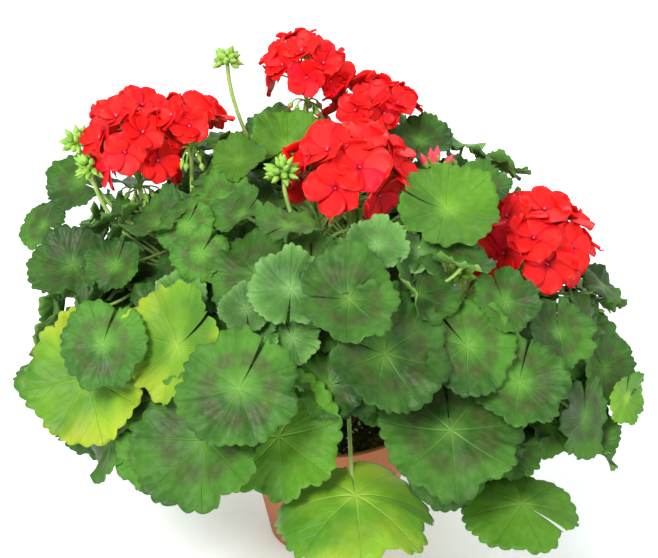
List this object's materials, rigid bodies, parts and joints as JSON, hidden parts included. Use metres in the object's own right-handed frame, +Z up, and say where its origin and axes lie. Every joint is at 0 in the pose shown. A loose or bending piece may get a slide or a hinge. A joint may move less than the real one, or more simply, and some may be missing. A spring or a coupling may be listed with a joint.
{
  "type": "potted geranium",
  "caption": "Bushy zonal geranium with scalloped leaves, red flower heads and buds, growing in a tapered terracotta-coloured plastic pot.",
  "frame": {"origin": "centre of the pot's foot, on the surface that it stands on", "axes": "+Z up, -Y towards the front of the plant, +X to the right seen from the front"},
  "size_m": [0.5641, 0.5474, 0.4864],
  "materials": {
    "pot": "matt terracotta-coloured moulded plastic",
    "soil": "damp dark potting mix with white perlite",
    "stem": "fleshy green stem, woody brown at the foot",
    "leaf_mature": "soft downy leaf, mid green with a darker zone and pale veins",
    "leaf_fresh": "soft downy leaf, light green",
    "leaf_young": "small new leaf, bluish green with a pale edge",
    "leaf_old": "old leaf turning yellow",
    "petal": "velvety bright red petals",
    "bud": "downy yellow-green closed buds"
  },
  "bodies": {
    "root": {"pot": "pot", "soil": "soil", "stem_01": "stem", "stem_02": "stem", "stem_03": "stem", "stem_04": "stem", "stem_05": "stem", "leaf_01": "leaf_old", "leaf_02": "leaf_fresh", "leaf_03": "leaf_mature", "leaf_04": "leaf_fresh", "leaf_05": "leaf_mature", "leaf_06": "leaf_mature", "leaf_07": "leaf_mature", "leaf_08": "leaf_mature", "leaf_09": "leaf_mature", "leaf_10": "leaf_mature", "leaf_11": "leaf_old", "leaf_12": "leaf_mature", "leaf_13": "leaf_old", "leaf_14": "leaf_mature", "leaf_15": "leaf_mature", "leaf_16": "leaf_mature", "leaf_17": "leaf_mature", "leaf_18": "leaf_young", "leaf_19": "leaf_mature", "leaf_20": "leaf_old", "leaf_21": "leaf_mature", "leaf_22": "leaf_mature", "leaf_23": "leaf_mature", "leaf_24": "leaf_mature", "leaf_25": "leaf_young", "leaf_26": "leaf_young", "leaf_27": "leaf_young", "leaf_28": "leaf_young", "leaf_29": "leaf_fresh", "leaf_30": "leaf_mature", "leaf_31": "leaf_fresh", "leaf_32": "leaf_fresh", "leaf_33": "leaf_mature", "leaf_34": "leaf_mature", "leaf_35": "leaf_mature", "leaf_36": "leaf_mature", "leaf_37": "leaf_mature", "leaf_38": "leaf_mature", "leaf_39": "leaf_mature", "leaf_40": "leaf_mature", "leaf_41": "leaf_mature", "flower_head_01": "petal", "flower_head_02": "petal", "flower_head_03": "petal", "flower_head_04": "petal", "flower_head_05": "petal", "flower_head_06": "petal", "bud_head_01": "bud", "bud_head_02": "bud", "bud_head_03": "bud", "bud_head_04": "bud", "bud_head_05": "bud", "bud_head_06": "bud"}
  },
  "joints": []
}
